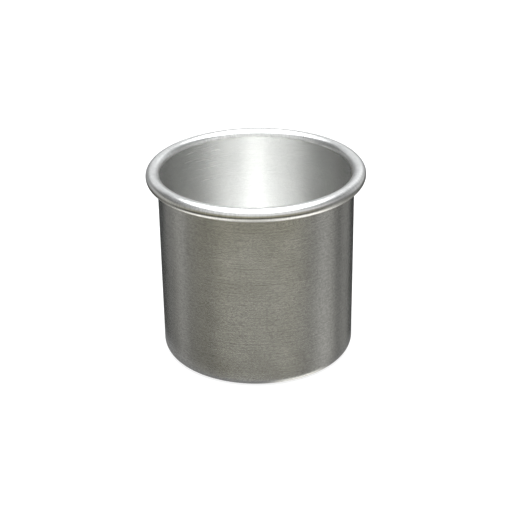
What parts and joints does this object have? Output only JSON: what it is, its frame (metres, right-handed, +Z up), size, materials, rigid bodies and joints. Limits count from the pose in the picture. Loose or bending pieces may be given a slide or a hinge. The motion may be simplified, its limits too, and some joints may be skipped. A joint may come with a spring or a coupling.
{
  "type": "candle melting pot",
  "caption": "Round straight-sided pot of brushed aluminium sheet with a rounded base corner and a rolled, wire-stiffened rim, for melting candle wax.",
  "frame": {"origin": "centre of the underside of the flat base", "axes": "+Z up along the pot's axis, out of its mouth; X and Y are alike"},
  "size_m": [0.1116, 0.1116, 0.1],
  "materials": {
    "brushed_aluminium": "spun and brushed, fine lines round the axis",
    "wire_steel": "drawn wire"
  },
  "bodies": {
    "root": {"pot_shell": "brushed_aluminium", "rim_wire": "wire_steel"}
  },
  "joints": []
}
